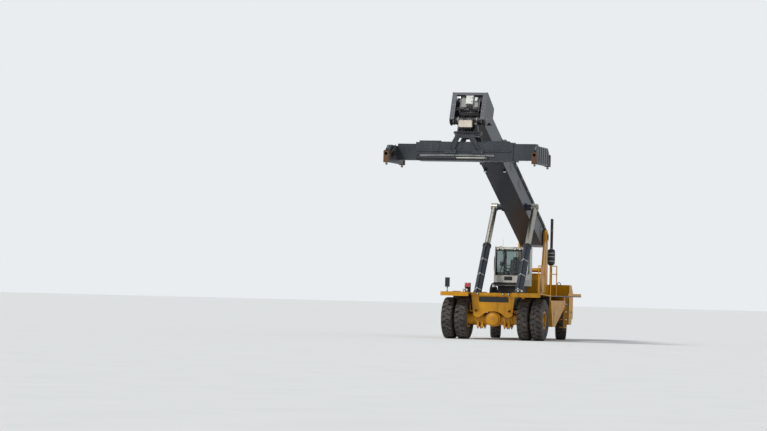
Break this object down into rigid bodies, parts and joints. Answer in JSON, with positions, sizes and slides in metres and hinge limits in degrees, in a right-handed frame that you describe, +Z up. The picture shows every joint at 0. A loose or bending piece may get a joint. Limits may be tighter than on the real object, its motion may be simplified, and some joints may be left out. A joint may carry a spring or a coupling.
{
  "type": "reach stacker",
  "caption": "Reach stacker: heavy wheeled truck with a lifting, telescoping boom, a slewing and extending spreader with twistlocks, a hollow cab with a door, and steered rear wheels.",
  "frame": {"origin": "on the ground, at the centre of the machine's length and width", "axes": "+X forward towards the spreader, +Y the driver's left, +Z up"},
  "size_m": [14.327, 6.057, 9.6238],
  "materials": {
    "amber_paint": "satin",
    "slate_paint": "satin",
    "dark_paint": "satin",
    "pale_paint": "satin",
    "tyre_rubber": "matte",
    "chrome_rod": "polished",
    "steel": "worn",
    "clear_glass": "clear",
    "black_plastic": "matte",
    "seat_cloth": "woven"
  },
  "bodies": {
    "chassis": {"frame": "amber_paint", "drive_axle": "amber_paint", "steer_axle": "amber_paint", "fenders": "amber_paint", "decks": "dark_paint", "fuel_tank": "amber_paint", "oil_tank": "amber_paint", "handrails": "amber_paint", "counterweight": "amber_paint", "engine": "dark_paint", "exhaust": "dark_paint", "cab": "pale_paint", "cab_glass": "clear_glass", "seat": "seat_cloth", "console": "black_plastic", "lamps": "black_plastic", "mirrors": "black_plastic"},
    "hood_cover": {"hood": "amber_paint"},
    "door": {"cab_door": "pale_paint", "door_glass": "clear_glass"},
    "boom": {"boom_outer": "slate_paint"},
    "boom_slide": {"boom_inner": "slate_paint", "boom_nose": "slate_paint", "nose_gear": "pale_paint"},
    "cylinder_tubes": {"lift_tubes": "slate_paint"},
    "cylinder_rods": {"lift_rods": "chrome_rod"},
    "yoke_body": {"yoke": "dark_paint"},
    "carriage_body": {"carriage": "slate_paint"},
    "girder_pair": {"girders": "slate_paint"},
    "left_arm": {"arm_left": "slate_paint", "end_left": "slate_paint"},
    "right_arm": {"arm_right": "slate_paint", "end_right": "slate_paint"},
    "lock_fl": {"lock_front_left": "steel"},
    "lock_rl": {"lock_rear_left": "steel"},
    "lock_fr": {"lock_front_right": "steel"},
    "lock_rr": {"lock_rear_right": "steel"},
    "wheel_fl": {"tyres_front_left": "tyre_rubber", "hub_front_left": "amber_paint"},
    "wheel_fr": {"tyres_front_right": "tyre_rubber", "hub_front_right": "amber_paint"},
    "steer_l": {"knuckle_left": "amber_paint"},
    "steer_r": {"knuckle_right": "amber_paint"},
    "wheel_rl": {"tyre_rear_left": "tyre_rubber", "hub_rear_left": "amber_paint"},
    "wheel_rr": {"tyre_rear_right": "tyre_rubber", "hub_rear_right": "amber_paint"}
  },
  "joints": [
    {"name": "hood_lift", "type": "hinge", "parent": "chassis", "child": "hood_cover", "pos_m": [-4.24348, 0.818, 1.85], "axis": [-1, 0, 0], "range_deg": [0, 40]},
    {"name": "door_swing", "type": "hinge", "parent": "chassis", "child": "door", "pos_m": [-2.66348, 0.618, 2.95], "axis": [0, 0, 1], "range_deg": [0, 85]},
    {"name": "front_left_spin", "type": "hinge", "parent": "chassis", "child": "wheel_fl", "pos_m": [0.73652, 1.56, 0.835], "axis": [0, 1, 0], "continuous": true},
    {"name": "front_right_spin", "type": "hinge", "parent": "chassis", "child": "wheel_fr", "pos_m": [0.73652, -1.56, 0.835], "axis": [0, 1, 0], "continuous": true},
    {"name": "steer_left", "type": "hinge", "parent": "chassis", "child": "steer_l", "pos_m": [-5.26348, 1.01, 0.835], "axis": [0, 0, 1], "range_deg": [-59, 31]},
    {"name": "steer_right", "type": "hinge", "parent": "chassis", "child": "steer_r", "pos_m": [-5.26348, -1.01, 0.835], "axis": [0, 0, 1], "range_deg": [-59, 31]},
    {"name": "rear_left_spin", "type": "hinge", "parent": "steer_l", "child": "wheel_rl", "pos_m": [-5.35783, 1.38841, 0.835], "axis": [-0.2419, 0.9703, 0], "continuous": true},
    {"name": "rear_right_spin", "type": "hinge", "parent": "steer_r", "child": "wheel_rr", "pos_m": [-5.16913, -1.38841, 0.835], "axis": [-0.2419, 0.9703, 0], "continuous": true},
    {"name": "boom_lift", "type": "hinge", "parent": "chassis", "child": "boom", "pos_m": [-5.86348, 0, 4.3], "axis": [0, -1, 0], "range_deg": [-23, 27]},
    {"name": "boom_extend", "type": "slide", "parent": "boom", "child": "boom_slide", "axis": [-0.9205, 0, -0.3907], "range_m": [-3.7, 3.1]},
    {"name": "tube_swing", "type": "hinge", "parent": "chassis", "child": "cylinder_tubes", "pos_m": [0.73652, 0, 1.33], "axis": [0, 1, 0], "range_deg": [-4.7, 5.5]},
    {"name": "rod_slide", "type": "slide", "parent": "cylinder_tubes", "child": "cylinder_rods", "axis": [-0.5907, 0, 0.8069], "range_m": [-1.286, 1.51]},
    {"name": "yoke_swing", "type": "hinge", "parent": "boom_slide", "child": "yoke_body", "pos_m": [5.93198, 0, 8.50297], "axis": [0, -1, 0], "range_deg": [-27, 23]},
    {"name": "slew", "type": "hinge", "parent": "yoke_body", "child": "carriage_body", "pos_m": [5.93198, 0, 7.93297], "axis": [0, 0, 1], "range_deg": [-105, 195]},
    {"name": "side_shift", "type": "slide", "parent": "carriage_body", "child": "girder_pair", "axis": [0, 1, 0], "range_m": [-0.8, 0.8]},
    {"name": "left_extend", "type": "slide", "parent": "girder_pair", "child": "left_arm", "axis": [0, 1, 0], "range_m": [0, 3.066]},
    {"name": "right_extend", "type": "slide", "parent": "girder_pair", "child": "right_arm", "axis": [0, -1, 0], "range_m": [0, 3.066]},
    {"name": "lock_fl_turn", "type": "hinge", "parent": "left_arm", "child": "lock_fl", "pos_m": [7.06148, 2.9265, 6.90297], "axis": [0, 0, 1], "range_deg": [0, 90]},
    {"name": "lock_rl_turn", "type": "hinge", "parent": "left_arm", "child": "lock_rl", "pos_m": [4.80248, 2.9265, 6.90297], "axis": [0, 0, 1], "range_deg": [0, 90]},
    {"name": "lock_fr_turn", "type": "hinge", "parent": "right_arm", "child": "lock_fr", "pos_m": [7.06148, -2.9265, 6.90297], "axis": [0, 0, 1], "range_deg": [0, 90]},
    {"name": "lock_rr_turn", "type": "hinge", "parent": "right_arm", "child": "lock_rr", "pos_m": [4.80248, -2.9265, 6.90297], "axis": [0, 0, 1], "range_deg": [0, 90]}
  ],
  "couplings": [
    {"joint": "steer_right", "follows": "steer_left", "ratio": 1},
    {"joint": "tube_swing", "follows": "boom_lift", "ratio": 0.2},
    {"joint": "rod_slide", "follows": "boom_lift", "m_per_rad": 3.2},
    {"joint": "yoke_swing", "follows": "boom_lift", "ratio": -1},
    {"joint": "right_extend", "follows": "left_extend", "ratio": 1},
    {"joint": "lock_rl_turn", "follows": "lock_fl_turn", "ratio": 1},
    {"joint": "lock_fr_turn", "follows": "lock_fl_turn", "ratio": 1},
    {"joint": "lock_rr_turn", "follows": "lock_fl_turn", "ratio": 1}
  ]
}
